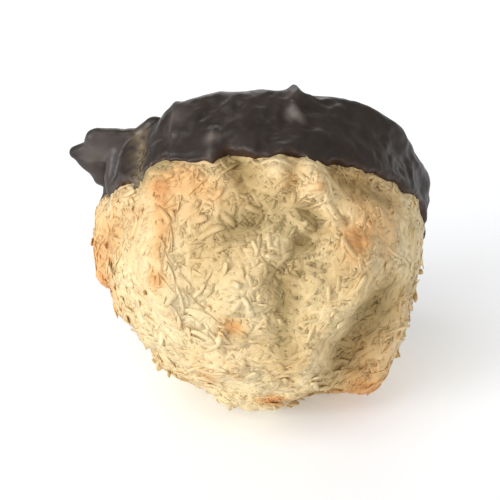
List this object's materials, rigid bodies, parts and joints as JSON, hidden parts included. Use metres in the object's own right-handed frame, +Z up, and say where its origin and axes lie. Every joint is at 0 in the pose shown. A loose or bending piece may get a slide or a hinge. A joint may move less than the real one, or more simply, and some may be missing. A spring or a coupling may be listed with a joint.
{
  "type": "coconut macaroon",
  "caption": "Baked coconut macaroon of matted shreds, lying on its flank, its base dipped in dark chocolate that runs out into a foot on one side.",
  "frame": {"origin": "centre of the underside of the bounding box, on the surface the macaroon lies on", "axes": "+Z up, +Y towards the chocolate-dipped base, -Y towards the top of the dome, -X towards the foot of chocolate"},
  "size_m": [0.0466, 0.0374, 0.0421],
  "materials": {
    "coconut": "matted baked shreds, pale cream with golden ridges, faintly glossy with syrup",
    "chocolate": "satin dark chocolate, lumpy where it covers the shreds"
  },
  "bodies": {
    "root": {"coconut_mound": "coconut", "chocolate_coating": "chocolate"}
  },
  "joints": []
}
